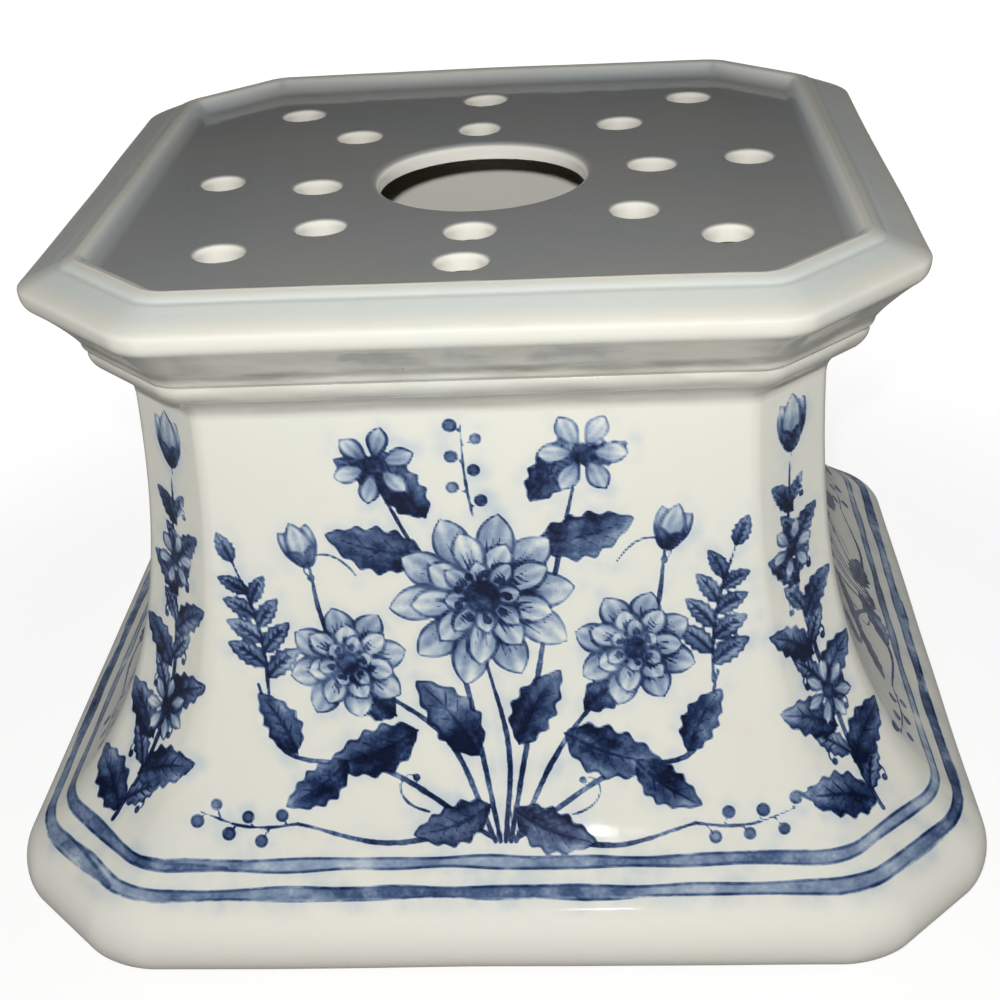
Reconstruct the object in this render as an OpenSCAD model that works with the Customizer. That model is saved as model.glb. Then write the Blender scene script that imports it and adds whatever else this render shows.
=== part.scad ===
// Square flower brick in tin-glazed earthenware: eight mitred wall slabs that sweep out to a
// rolled foot, eight mitred lengths of cornice, a pierced deck for flower stems and a floor slab.
// Millimetres, +Z up, origin on the table under the middle. The front faces -Y.

/* [Plan] */
// Width across the crest of the rim, flat to flat
crest_w = 144; // [120:1:180]
// Leg of the cut corner, measured at the crest
corner_cut = 17; // [14:0.5:24]
// How much that leg grows for each millimetre that the outline steps out
corner_growth = 0.34; // [0.25:0.01:0.55]

/* [Heights] */
// Table to the crest of the rim
crest_z = 134; // [115:1:160]
// Crest down to the deck
deck_drop = 4; // [3:0.5:5]

/* [Cornice] */
// Height from the crest down to the top of the ovolo
rim_h = 2.2; // [1.5:0.1:3]
// Height of the ovolo, the broad round moulding
ovolo_h = 6.5; // [5:0.1:8]
// Height of the hollow under the ovolo
hollow_h = 5.8; // [4:0.1:8]
// Height of the fillet under the hollow
fillet_h = 1.3; // [0.8:0.1:2]
// Height of the groove under the fillet
quirk_h = 1.1; // [0.6:0.1:2]
// Height of the bead
bead_h = 5.2; // [4:0.1:7]
// Height of the cove that runs into the neck
cove_h = 4.9; // [3.5:0.1:7]
// How far the ovolo stands out from the crest
cornice_throw = 10.5; // [8:0.5:14]
// How far the fillet stands out from the crest
fillet_throw = 2.1; // [1.2:0.1:3]
// How far the end of the bead lies inside the crest
bead_inset = 2.9; // [2:0.1:3.6]
// Width of the slope between the crest and the deck
rim_slope_w = 5; // [4:0.5:6]
// Thickness of the cornice at its lower edge
cornice_lip = 0.8; // [0.6:0.1:1.5]
// Width of the seat on which the cornice stands on the walls
cornice_seat = 2.4; // [1.5:0.1:3]

/* [Walls] */
// How far the neck lies inside the crest
neck_inset = 6.6; // [5.5:0.1:8]
// Height of the walls above the neck, inside the cornice
wall_rise = 6; // [4:0.5:9]
// Thickness of a wall slab at the neck
wall_t = 5; // [4:0.5:6]

/* [Foot] */
// How far the widest part of the foot stands out from the crest
foot_throw = 28.5; // [25:0.5:34]
// Height of the widest part of the foot
foot_wide_z = 6.5; // [5:0.5:9]
// How far the waist has stepped out where the foot's roll begins
roll_throw = 22.4; // [18:0.2:24]
// Height at which the foot's roll begins
roll_z = 16.3; // [14:0.1:22]
// How far the foot tucks in again at the table
foot_tuck = 3.5; // [1:0.5:6]

/* [Deck] */
// Thickness of the pierced deck
deck_t = 3.5; // [3:0.5:7]
// Diameter of a stem hole
stem_d = 9; // [7:0.5:11]
// Radius of the lip round a stem hole
stem_lip = 0.6; // [0.4:0.1:1]
// Diameter of the large opening
centre_d = 43; // [36:0.5:46]
// Radius of the soft lip round the large opening
centre_lip = 2; // [1:0.1:2.5]
// Edge of the deck to the middle of the outer hole on each side
side_edge = 11.5; // [10:0.5:14]
// Edges of the deck to the middle of the outer corner holes, along X and Y
corner_edge = 20.5; // [18:0.5:23]
// Share of the way from the large opening to the outer hole at which the inner side hole lies
side_share = 0.4; // [0.36:0.01:0.46]
// The same share for the corner holes
corner_share = 0.47; // [0.4:0.01:0.54]

/* [Floor] */
// Thickness of the floor slab
floor_t = 6; // [5:0.5:8]
// How far the floor slab's edge stands out from the crest
floor_throw = 15; // [10:0.5:18]
// Ledge of the walls that covers the floor slab's edge
floor_ledge = 3; // [2:0.5:5]

/* [Hidden] */
$fn = 64;

glaze = "#e9e6da";
deck_glaze = "#dcdcd6";
biscuit = "#d9c3a0";

crest_half = crest_w / 2;
deck_half = crest_half - rim_slope_w;
ovolo_z = crest_z - rim_h;
hollow_z = ovolo_z - ovolo_h;
fillet_z = hollow_z - hollow_h;
quirk_z = fillet_z - fillet_h;
bead_z = quirk_z - quirk_h;
cove_z = bead_z - bead_h;
neck_z = cove_z - cove_h;
deck_z = crest_z - deck_drop;
deck_under = deck_z - deck_t;
wall_top = neck_z + wall_rise;

// Steps in each curve of the outlines
waist_steps = 16;
inner_steps = 12;
small_steps = 5;
crest_steps = 6;

// A corner slab lies on a diagonal: its distance from the axis at the crest, and how that grows
diagonal_half = (2 * crest_half - corner_cut) / sqrt(2);
diagonal_growth = (2 - corner_growth) / sqrt(2);

// Outward steps between which the mitre planes are drawn, past every outline on both sides
mitre_spare = 12;
mitre_in = -neck_inset - wall_t - mitre_spare;
mitre_out = foot_throw + mitre_spare;

// How far a cut runs past the face that it leaves
overrun = 1;

// How far the hand-punched holes drift from their places, inner then outer, from the right round
// through the back, the left and the front
drift = [
    [[0.5, 0], [0.5, 3.5]], [[-0.5, 2], [-0.5, 4.5]],
    [[-2.5, -3], [-2, 0.5]], [[0.5, -1], [1.5, 3]],
    [[1, -6.5], [0.5, -1.5]], [[0, -2.5], [-1, 1]],
    [[-0.5, -2], [-1, 1.5]], [[1, 1], [1.5, 2.5]]
];
centre_drift = [0, -1.5];

// Cubic curve from a to d with handles b and c, without its last point
function curve(a, b, c, d, steps) = [
    for (i = [0 : steps - 1])
        let (t = i / steps, s = 1 - t)
        s * s * s * a + 3 * s * s * t * b + 3 * s * t * t * c + t * t * t * d
];

// Half lengths of a side and of a cut corner where the outline has stepped out by the given throw
function cut_leg(throw) = corner_cut + corner_growth * throw;
function side_half(throw) = crest_half + throw - cut_leg(throw);
function corner_half(throw) = cut_leg(throw) / sqrt(2);
function corner_reach(throw) = diagonal_half + diagonal_growth * throw;

// Outlines are lists of [throw, height]; these carry them to a side or to a corner
function on_side(outline) = [for (p = outline) [crest_half + p.x, p.y]];
function on_corner(outline) = [for (p = outline) [corner_reach(p.x), p.y]];

// The cut-cornered square at the given throw
function octagon(throw) =
    let (h = crest_half + throw, s = side_half(throw))
    [[h, -s], [h, s], [s, h], [-s, h], [-h, s], [-h, -s], [-s, -h], [s, -h]];

// Wall slab: neck, swept waist, rolled foot, flat base, rebate for the floor and inner sweep
function wall_outline() =
    let (
        neck = [-neck_inset, neck_z],
        roll = [roll_throw, roll_z],
        wide = [foot_throw, foot_wide_z],
        base = [foot_throw - foot_tuck, 0],
        ledge = [floor_throw - floor_ledge, floor_t],
        inner = [-neck_inset - wall_t, neck_z],
        fall = neck_z - roll_z,
        reach = roll_throw + neck_inset,
        lip = foot_throw - roll_throw,
        inner_fall = neck_z - floor_t,
        inner_reach = ledge.x - inner.x
    )
    concat(
        [[-neck_inset, wall_top]],
        curve(neck, neck - [0, 0.5 * fall], roll + [-0.74 * reach, 0.165 * fall], roll, waist_steps),
        curve(roll, roll + [0.55 * lip, -0.1 * (roll_z - foot_wide_z)],
            wide + [0, 0.5 * (roll_z - foot_wide_z)], wide, small_steps),
        curve(wide, wide - [0, 0.6 * foot_wide_z], base + [0.5 * foot_tuck, 0], base, small_steps),
        [base, [floor_throw, 0], [floor_throw, floor_t]],
        curve(ledge, ledge + [-0.72 * inner_reach, 0.16 * inner_fall],
            inner - [0, 0.5 * inner_fall], inner, inner_steps),
        [inner, [inner.x, wall_top]]
    );

// Cornice: rim slope, crest, outer slope, ovolo, hollow, fillet, groove, bead and cove to the neck
function cornice_outline() =
    let (
        crest_fall = 0.1 * deck_drop,
        rim = [-rim_slope_w, deck_z],
        crest_in = [-0.28 * rim_slope_w, crest_z - crest_fall],
        crest_out = [0.12 * cornice_throw, crest_z - crest_fall],
        crest_pull = [0, crest_z + crest_fall / 3],
        slope_end = [0.56 * cornice_throw, ovolo_z + 0.1 * rim_h],
        ovolo = [0.68 * cornice_throw, ovolo_z],
        wide = [cornice_throw, ovolo_z - 0.4 * ovolo_h],
        hollow = [0.81 * cornice_throw, hollow_z],
        fillet = [fillet_throw, fillet_z],
        quirk = [0.65 * fillet_throw, quirk_z],
        bead = [-0.1 * bead_inset, bead_z],
        cove = [-bead_inset, cove_z],
        lip = [cornice_lip - neck_inset, neck_z],
        seat = -neck_inset - cornice_seat
    )
    concat(
        curve(rim, rim + [0.5 * rim_slope_w, 0.1 * deck_drop],
            crest_in - [0.25 * rim_slope_w, 0.3 * deck_drop], crest_in, small_steps),
        curve(crest_in, crest_pull, crest_pull, crest_out, crest_steps),
        curve(crest_out, [0.34 * cornice_throw, crest_out.y - 0.2 * rim_h],
            [0.48 * cornice_throw, slope_end.y + 0.35 * rim_h], slope_end, small_steps),
        curve(slope_end, slope_end + [0.04 * cornice_throw, -0.14 * rim_h],
            ovolo - [0.06 * cornice_throw, 0.05 * rim_h], ovolo, small_steps),
        curve(ovolo, [0.86 * cornice_throw, ovolo_z], wide + [0, 0.22 * ovolo_h], wide, small_steps),
        curve(wide, wide - [0, 0.3 * ovolo_h],
            hollow + [0.14 * cornice_throw, 0.17 * ovolo_h], hollow, small_steps),
        curve(hollow, hollow - [0.3 * cornice_throw, 0.33 * hollow_h],
            fillet + [0.15 * cornice_throw, 0.33 * hollow_h], fillet, small_steps),
        [fillet, quirk],
        curve(bead, bead + [0.45 * bead_inset, -0.36 * bead_h],
            cove + [0.48 * bead_inset, 0.3 * bead_h], cove, small_steps),
        curve(cove, cove - [0.5 * bead_inset, 0.28 * cove_h], lip + [0, 0.5 * cove_h], lip, small_steps),
        [lip, [-neck_inset, neck_z], [-neck_inset, wall_top], [seat, wall_top]],
        [[seat, deck_under], [-rim_slope_w, deck_under]]
    );

// A length of moulding, cut by its two mitre planes; it lies on the +X side until it is turned
module mitred(outline, inner, outer) {
    intersection() {
        rotate([90, 0, 0])
            linear_extrude(2 * crest_w, center = true)
                polygon(outline);
        linear_extrude(crest_z + overrun)
            polygon([[inner.x, -inner.y], [outer.x, -outer.y], [outer.x, outer.y], [inner.x, inner.y]]);
    }
}

module side_piece(outline, turn) {
    rotate([0, 0, turn])
        mitred(on_side(outline),
            [crest_half + mitre_in, side_half(mitre_in)],
            [crest_half + mitre_out, side_half(mitre_out)]);
}

module corner_piece(outline, turn) {
    rotate([0, 0, turn])
        mitred(on_corner(outline),
            [corner_reach(mitre_in), corner_half(mitre_in)],
            [corner_reach(mitre_out), corner_half(mitre_out)]);
}

// A hole through the deck with a rounded lip at its top edge
module lipped_hole(place, d, lip) {
    translate([place.x, place.y, deck_z])
        rotate_extrude()
            difference() {
                translate([0, -deck_t - overrun])
                    square([d / 2 + lip, deck_t + 2 * overrun]);
                translate([d / 2, -deck_t - 2 * overrun])
                    square([lip + overrun, deck_t + 2 * overrun - lip]);
                translate([d / 2 + lip, -lip])
                    circle(lip);
            }
}

// Place of a hole, in row 0 (inner) or 1 (outer), in one of the eight directions from the right round
function hole_place(i, row) =
    let (
        at_corner = i % 2 == 1,
        outer = at_corner ? (deck_half - corner_edge) * sqrt(2) : deck_half - side_edge,
        share = at_corner ? corner_share : side_share,
        inner = centre_d / 2 + share * (outer - centre_d / 2)
    )
    (row == 0 ? inner : outer) * [cos(45 * i), sin(45 * i)] + drift[i][row];

module right_wall() { color(glaze) side_piece(wall_outline(), 0); }
module back_wall() { color(glaze) side_piece(wall_outline(), 90); }
module left_wall() { color(glaze) side_piece(wall_outline(), 180); }
module front_wall() { color(glaze) side_piece(wall_outline(), 270); }
module back_right_corner() { color(glaze) corner_piece(wall_outline(), 45); }
module back_left_corner() { color(glaze) corner_piece(wall_outline(), 135); }
module front_left_corner() { color(glaze) corner_piece(wall_outline(), 225); }
module front_right_corner() { color(glaze) corner_piece(wall_outline(), 315); }

module right_cornice() { color(glaze) side_piece(cornice_outline(), 0); }
module back_cornice() { color(glaze) side_piece(cornice_outline(), 90); }
module left_cornice() { color(glaze) side_piece(cornice_outline(), 180); }
module front_cornice() { color(glaze) side_piece(cornice_outline(), 270); }
module back_right_cornice() { color(glaze) corner_piece(cornice_outline(), 45); }
module back_left_cornice() { color(glaze) corner_piece(cornice_outline(), 135); }
module front_left_cornice() { color(glaze) corner_piece(cornice_outline(), 225); }
module front_right_cornice() { color(glaze) corner_piece(cornice_outline(), 315); }

module pierced_deck() {
    color(deck_glaze)
        difference() {
            translate([0, 0, deck_under])
                linear_extrude(deck_t)
                    polygon(octagon(-rim_slope_w));
            lipped_hole(centre_drift, centre_d, centre_lip);
            for (i = [0 : 7], row = [0, 1])
                lipped_hole(hole_place(i, row), stem_d, stem_lip);
        }
}

module floor_slab() {
    color(biscuit)
        linear_extrude(floor_t)
            polygon(octagon(floor_throw));
}

front_wall();
back_wall();
left_wall();
right_wall();
front_left_corner();
front_right_corner();
back_left_corner();
back_right_corner();
front_cornice();
back_cornice();
left_cornice();
right_cornice();
front_left_cornice();
front_right_cornice();
back_left_cornice();
back_right_cornice();
pierced_deck();
floor_slab();
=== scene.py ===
"""Looks of a square tin-glazed flower brick: its slabs, cornice, deck and floor with soft, hand-finished
edges, a warm white glaze, and flower sprays and two bands brushed on in cobalt blue."""
import math

import bmesh
import bpy
import numpy as np
from mathutils import Matrix, Vector


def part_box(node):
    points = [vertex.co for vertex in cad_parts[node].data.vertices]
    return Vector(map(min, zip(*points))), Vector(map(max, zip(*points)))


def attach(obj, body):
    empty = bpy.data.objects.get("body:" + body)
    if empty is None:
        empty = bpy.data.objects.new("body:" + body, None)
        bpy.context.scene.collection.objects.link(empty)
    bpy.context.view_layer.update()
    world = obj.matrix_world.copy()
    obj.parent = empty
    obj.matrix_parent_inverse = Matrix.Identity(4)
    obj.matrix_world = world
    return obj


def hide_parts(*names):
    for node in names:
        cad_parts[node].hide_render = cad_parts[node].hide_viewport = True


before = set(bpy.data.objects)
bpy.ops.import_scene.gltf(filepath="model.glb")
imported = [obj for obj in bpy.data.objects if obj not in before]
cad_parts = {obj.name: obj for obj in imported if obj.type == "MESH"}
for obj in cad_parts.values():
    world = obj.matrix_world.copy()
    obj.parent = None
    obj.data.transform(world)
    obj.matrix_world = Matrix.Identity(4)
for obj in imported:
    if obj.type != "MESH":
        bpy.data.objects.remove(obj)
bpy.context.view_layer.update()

MM = 0.001

# Sizes that the frame gives
deck_low, deck_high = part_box("pierced_deck")
floor_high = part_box("floor_slab")[1]
wall_low, wall_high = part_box("front_wall")
cornice_low, cornice_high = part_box("front_cornice")

# Room inside the frame for clay that runs out of true
SPARE = 0.35 * MM

RIM_SLOPE = 5 * MM
DECK_HALF = deck_high.x
CREST_SPREAD = 1.2 * MM
CREST_HALF = DECK_HALF + RIM_SLOPE + CREST_SPREAD
CREST_Z = cornice_high.z - SPARE
DECK_LIFT = 0.6 * MM
DECK_Z = deck_high.z - SPARE + DECK_LIFT
DECK_UNDER = deck_low.z - SPARE + DECK_LIFT
NECK_DROP = 1.6 * MM
NECK_Z = cornice_low.z - NECK_DROP
WALL_TOP = wall_high.z
FLOOR_T = floor_high.z
FOOT_THROW = -wall_low.y - CREST_HALF - SPARE
CORNICE_THROW = 10.5 * MM
FLOOR_THROW = floor_high.x - CREST_HALF

# Plans: the leg of the cut corner at the crest, and how much it grows for each metre
# that the outline steps out
CORNICE_PLAN = (19 * MM, 0.65)
WALL_PLAN = (16.5 * MM, 0.284)

# Wall outline
NECK_INSET = 7.0 * MM
WALL_T = 5 * MM
ROLL_THROW = 21.2 * MM
ROLL_Z = 16.3 * MM
FOOT_WIDE_Z = 6.5 * MM
FOOT_TUCK = 3.5 * MM
FLOOR_LEDGE = 3 * MM
WAIST_ROWS = 200

# Cornice members from the crest down, and their throws
RIM_H = 2.2 * MM
OVOLO_H = 6.5 * MM
HOLLOW_H = 8.0 * MM
FILLET_H = 1.2 * MM
QUIRK_H = 0.6 * MM
BEAD_H = 3.6 * MM
OVOLO_Z = CREST_Z - RIM_H
HOLLOW_Z = OVOLO_Z - OVOLO_H
FILLET_Z = HOLLOW_Z - HOLLOW_H
QUIRK_Z = FILLET_Z - FILLET_H
BEAD_Z = QUIRK_Z - QUIRK_H
COVE_Z = BEAD_Z - BEAD_H
FILLET_THROW = 1.4 * MM
BEAD_INSET = 2.9 * MM
CORNICE_LIP = 0.03 * MM
CORNICE_SEAT = 2.4 * MM
MOULDING_STEPS = 10

# Holes in the deck: their radii, the width and depth of their lips, where the two rows of stem holes lie
# between the opening and the edge, and how far each hole was punched out of place, in millimetres
STEM_R = 4.7 * MM
STEM_LIP = (1.0 * MM, 1.3 * MM)
STEM_SIDES = 48
ROWS_START = 21.5 * MM
CENTRE_R = 21.7 * MM
CENTRE_LIP = (2.0 * MM, 1.5 * MM)
CENTRE_PLACE = (0, -2 * MM)
CENTRE_SIDES = 128
CENTRE_STRETCH = 1.02
LIP_BENDS = 9
LIP_SKIRT = 1.6
SIDE_EDGE = 11.5 * MM
CORNER_EDGE = 20.5 * MM
SIDE_SHARE = 0.4
CORNER_SHARE = 0.47
HOLE_DRIFT = (
    ((0.5, 0), (0.5, 3.5)), ((-0.5, 2), (-0.5, 4.5)), ((-2.5, -3), (-2, 0.5)), ((0.5, -1), (1.5, 3)),
    ((1, -6.5), (0.5, -1.5)), ((0, -2.5), (-1, 1)), ((-0.5, -2), (-1, 1.5)), ((1, 1), (1.5, 2.5)))

# How the plan's corners are rounded, by throw: radii of the walls and of the cornice
CORNER_SEGMENTS = 11
COLUMN_CUTS = 23
LARGEST_RADIUS = 20 * MM
WALL_RADII = ((-12 * MM, 3 * MM), (-6.6 * MM, 3.5 * MM), (21.2 * MM, 14 * MM), (27.3 * MM, 18 * MM))
CORNICE_RADII = ((-9 * MM, 2 * MM), (-5 * MM, 3 * MM), (0, 6 * MM), (10.5 * MM, 9 * MM))
CORNER_TANGENT = math.tan(math.pi / 8)
SMOOTH_ANGLE = math.radians(38)

# Modelling limits
MERGE_GAP = 0.001 * MM
LONG_EDGE = 10 * MM
SEAM_REACH = 50 * MM
SLAB_EDGE = 0.5 * MM

# Pieces in the eight directions, from the right round through the back; corners have odd places
DIRECTIONS = ("right", "back_right", "back", "back_left", "left", "front_left", "front", "front_right")


def cut_leg(plan, throw):
    return plan[0] + plan[1] * throw


def side_half(plan, throw):
    return CREST_HALF + throw - cut_leg(plan, throw)


def corner_half(plan, throw):
    return cut_leg(plan, throw) / math.sqrt(2)


def curve(start, pull, push, end, steps):
    """Points of a cubic curve without its last one."""
    t = np.arange(steps)[:, None] / steps
    s = 1 - t
    ends = [np.array(p, float) for p in (start, pull, push, end)]
    return list(s**3 * ends[0] + 3 * s**2 * t * ends[1] + 3 * s * t**2 * ends[2] + t**3 * ends[3])


def wall_face():
    """Outer side of a wall, as (throw, height): neck, swept waist and rolled foot down to the base."""
    neck, roll = np.array((-NECK_INSET, NECK_Z)), np.array((ROLL_THROW, ROLL_Z))
    wide, base = np.array((FOOT_THROW, FOOT_WIDE_Z)), np.array((FOOT_THROW - FOOT_TUCK, 0))
    fall, reach = NECK_Z - ROLL_Z, ROLL_THROW + NECK_INSET
    lip, rise = FOOT_THROW - ROLL_THROW, ROLL_Z - FOOT_WIDE_Z
    return [
        (-NECK_INSET, WALL_TOP),
        *curve(neck, neck - (0, 0.5 * fall), roll + (-0.74 * reach, 0.165 * fall), roll, WAIST_ROWS),
        *curve(roll, roll + (0.55 * lip, -0.1 * rise), wide + (0, 0.5 * rise), wide, 12),
        *curve(wide, wide - (0, 0.6 * FOOT_WIDE_Z), base + (0.5 * FOOT_TUCK, 0), base, 10),
        base]


def wall_outline():
    """The outer side, then the base, the rebate for the floor and the inner sweep."""
    ledge = np.array((FLOOR_THROW - FLOOR_LEDGE, FLOOR_T))
    inner = np.array((-NECK_INSET - WALL_T, NECK_Z))
    fall, reach = NECK_Z - FLOOR_T, ledge[0] - inner[0]
    return [
        *wall_face(), (FLOOR_THROW, 0), (FLOOR_THROW, FLOOR_T),
        *curve(ledge, ledge + (-0.72 * reach, 0.16 * fall), inner - (0, 0.5 * fall), inner, 24),
        inner, (inner[0], WALL_TOP)]


def cornice_outline():
    """Rim slope, rolled crest, ledge, ovolo, underside, fillet, groove, bead, cove and seat."""
    drop, throw, steps = CREST_Z - DECK_Z, CORNICE_THROW, MOULDING_STEPS
    fall = 0.1 * drop
    rim, crest_in = np.array((-RIM_SLOPE, DECK_Z)), np.array((-0.28 * RIM_SLOPE, CREST_Z - fall))
    crest_out, pull = np.array((0.03 * throw, CREST_Z - 0.4 * fall)), np.array((0, CREST_Z + 0.1 * fall))
    shoulder = np.array((0.22 * throw, CREST_Z - 0.47 * RIM_H))
    ovolo = np.array((0.37 * throw, CREST_Z - 0.73 * RIM_H))
    wide, hollow = np.array((throw, OVOLO_Z - 0.42 * OVOLO_H)), np.array((0.84 * throw, HOLLOW_Z))
    fillet, quirk = np.array((FILLET_THROW, FILLET_Z)), np.array((0.5 * FILLET_THROW, QUIRK_Z))
    bead, cove = np.array((0.1 * FILLET_THROW, BEAD_Z)), np.array((-0.45 * BEAD_INSET, COVE_Z))
    lip, seat = np.array((CORNICE_LIP - NECK_INSET, NECK_Z)), -NECK_INSET - CORNICE_SEAT
    reach, cove_h = cove[0] - lip[0], COVE_Z - NECK_Z
    return [
        *curve(rim, rim + (0.5 * RIM_SLOPE, 0),
               crest_in - (0.25 * RIM_SLOPE, 0.3 * drop), crest_in, steps),
        *curve(crest_in, pull, pull, crest_out, steps),
        *curve(crest_out, crest_out + (0.05 * throw, -0.08 * RIM_H),
               shoulder + (-0.07 * throw, 0.26 * RIM_H), shoulder, steps),
        *curve(shoulder, shoulder + (0.05 * throw, -0.17 * RIM_H),
               ovolo + (-0.06 * throw, 0.11 * RIM_H), ovolo, steps),
        *curve(ovolo, ovolo + (0.32 * throw, -0.6 * RIM_H), wide + (0, 0.15 * OVOLO_H), wide, steps),
        *curve(wide, wide - (0, 0.34 * OVOLO_H),
               hollow + (0.1 * throw, 0.1 * OVOLO_H), hollow, steps),
        *curve(hollow, hollow - (0.22 * throw, 0.24 * HOLLOW_H),
               fillet + (0.1 * throw, 0.26 * HOLLOW_H), fillet, steps),
        *curve(fillet, fillet - (0, 0.55 * FILLET_H), quirk + (0.3 * FILLET_THROW, 0), quirk, 5),
        quirk,
        *curve(bead, bead + (0.3 * BEAD_INSET, -0.3 * BEAD_H),
               cove + (0.32 * BEAD_INSET, 0.2 * BEAD_H), cove, steps),
        *curve(cove, cove - (0.42 * reach, 0.22 * cove_h), lip + (0, 0.5 * cove_h), lip, steps),
        lip, (-NECK_INSET, NECK_Z), (-NECK_INSET, WALL_TOP), (seat, WALL_TOP),
        (seat, DECK_UNDER), (-RIM_SLOPE, DECK_UNDER)]


# Modelling by hand: selecting by place, and finishing with modifiers
def work_on(piece, mode="OBJECT"):
    """Makes a piece the only one that operators act on."""
    if bpy.context.mode != "OBJECT":
        bpy.ops.object.mode_set(mode="OBJECT")
    bpy.ops.object.select_all(action="DESELECT")
    bpy.context.view_layer.objects.active = piece
    piece.select_set(True)
    bpy.ops.object.mode_set(mode=mode)


def edit_mesh(piece):
    return bmesh.from_edit_mesh(piece.data)


def pick(piece, kind, test):
    """In edit mode, selects only the vertices, edges or faces that pass the test."""
    bpy.ops.mesh.select_mode(type=kind)
    bpy.ops.mesh.select_all(action="DESELECT")
    mesh = edit_mesh(piece)
    for item in {"VERT": mesh.verts, "EDGE": mesh.edges, "FACE": mesh.faces}[kind]:
        if test(item):
            item.select_set(True)
    mesh.select_flush_mode()
    bmesh.update_edit_mesh(piece.data)


def apply_modifier(piece, kind, **settings):
    modifier = piece.modifiers.new(kind.lower(), kind)
    for name, value in settings.items():
        setattr(modifier, name, value)
    bpy.context.view_layer.objects.active = piece
    bpy.ops.object.modifier_apply(modifier=modifier.name)


def extrude_up(rise):
    bpy.ops.mesh.extrude_region_move(TRANSFORM_OT_translate={"value": (0, 0, rise)})


# Clay that runs out of true: size and strength of its drift, and the slice at the base that stays flat
DRIFT_SIZE = 60 * MM
CLAY_DRIFT = 0.8 * MM
BASE_SLICE = 0.02 * MM
clay_drift = bpy.data.textures.new("clay_drift", "CLOUDS")
clay_drift.cloud_type = "COLOR"
clay_drift.noise_scale = DRIFT_SIZE
clay_drift.noise_depth = 1


def let_clay_drift(piece):
    """Lets the clay run slightly out of true; all pieces share one drift, so they still meet."""
    work_on(piece)
    base = {v.index for v in piece.data.vertices if v.co.z < BASE_SLICE}
    apply_modifier(piece, "DISPLACE", texture=clay_drift, texture_coords="LOCAL", direction="RGB_TO_XYZ",
                   strength=CLAY_DRIFT)
    work_on(piece, "EDIT")
    pick(piece, "VERT", lambda v: v.index in base or v.co.z < 0)
    bpy.ops.transform.resize(value=(1, 1, 0), center_override=(0, 0, 0))
    work_on(piece)


def corner_of(point):
    """Which of the octagon's eight corners a vertex belongs to."""
    return point.x > 0, point.y > 0, abs(point.x) > abs(point.y)


def grow_loop(piece, plan, old, new):
    """Moves the loop that was just extruded from one throw to the next, along the mitre lines."""
    out = (CREST_HALF + new) / (CREST_HALF + old)
    along = side_half(plan, new) / side_half(plan, old)
    loop = {v.index for v in edit_mesh(piece).verts if v.select}
    for on_x in (True, False):
        pick(piece, "VERT", lambda v: v.index in loop and (abs(v.co.x) > abs(v.co.y)) == on_x)
        value = (out, along, 1) if on_x else (along, out, 1)
        bpy.ops.transform.resize(value=value, center_override=(0, 0, 0))
    pick(piece, "VERT", lambda v: v.index in loop)


def radius_at(throw, radii):
    return np.interp(throw, *zip(*radii))


def start_octagon(name, plan, throw, height):
    """A new piece, in edit mode, that is the selected outline of the plan at one throw."""
    bpy.ops.object.select_all(action="DESELECT")
    bpy.ops.mesh.primitive_plane_add(size=2 * (CREST_HALF + throw), enter_editmode=True)
    piece = bpy.context.object
    piece.name = name
    bpy.ops.mesh.select_mode(type="VERT")
    bpy.ops.mesh.select_all(action="SELECT")
    bpy.ops.mesh.bevel(affect="VERTICES", offset=cut_leg(plan, throw))
    bpy.ops.mesh.delete(type="ONLY_FACE")
    bpy.ops.mesh.select_all(action="SELECT")
    bpy.ops.transform.translate(value=(0, 0, height))
    return piece


def is_long_and_level(edge):
    start, end = edge.verts
    return edge.calc_length() > LONG_EDGE and abs(start.co.z - end.co.z) < BASE_SLICE


def cut_long_edges(piece):
    """Cuts the long level edges, so that they can run out of true."""
    pick(piece, "EDGE", is_long_and_level)
    bpy.ops.mesh.subdivide(number_cuts=COLUMN_CUTS)


def cut_seams(ring, plan):
    """Cuts a ring where its eight lengths meet, and notes on each face the length that it belongs to."""
    along = Vector((1, 1 - plan[1], 0))
    mitre = Vector((CREST_HALF, side_half(plan, 0), 0))
    for place in range(8):
        flip = Vector((1 if place in (7, 0, 1, 2) else -1, 1 if place < 4 else -1, 1))
        near, turned = mitre.copy(), along.copy()
        if place in (1, 2, 5, 6):
            near, turned = near.yxz, turned.yxz
        near, turned = near * flip, turned * flip
        pick(ring, "FACE", lambda f: (f.calc_center_median().xy - near.xy).length < SEAM_REACH)
        bpy.ops.mesh.bisect(plane_co=near, plane_no=turned.cross((0, 0, 1)))
    mesh = edit_mesh(ring)
    belongs = mesh.faces.layers.int.new("place")
    for face in mesh.faces:
        face[belongs] = direction_of(plan, face.calc_center_median())
    bmesh.update_edit_mesh(ring.data)


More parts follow.
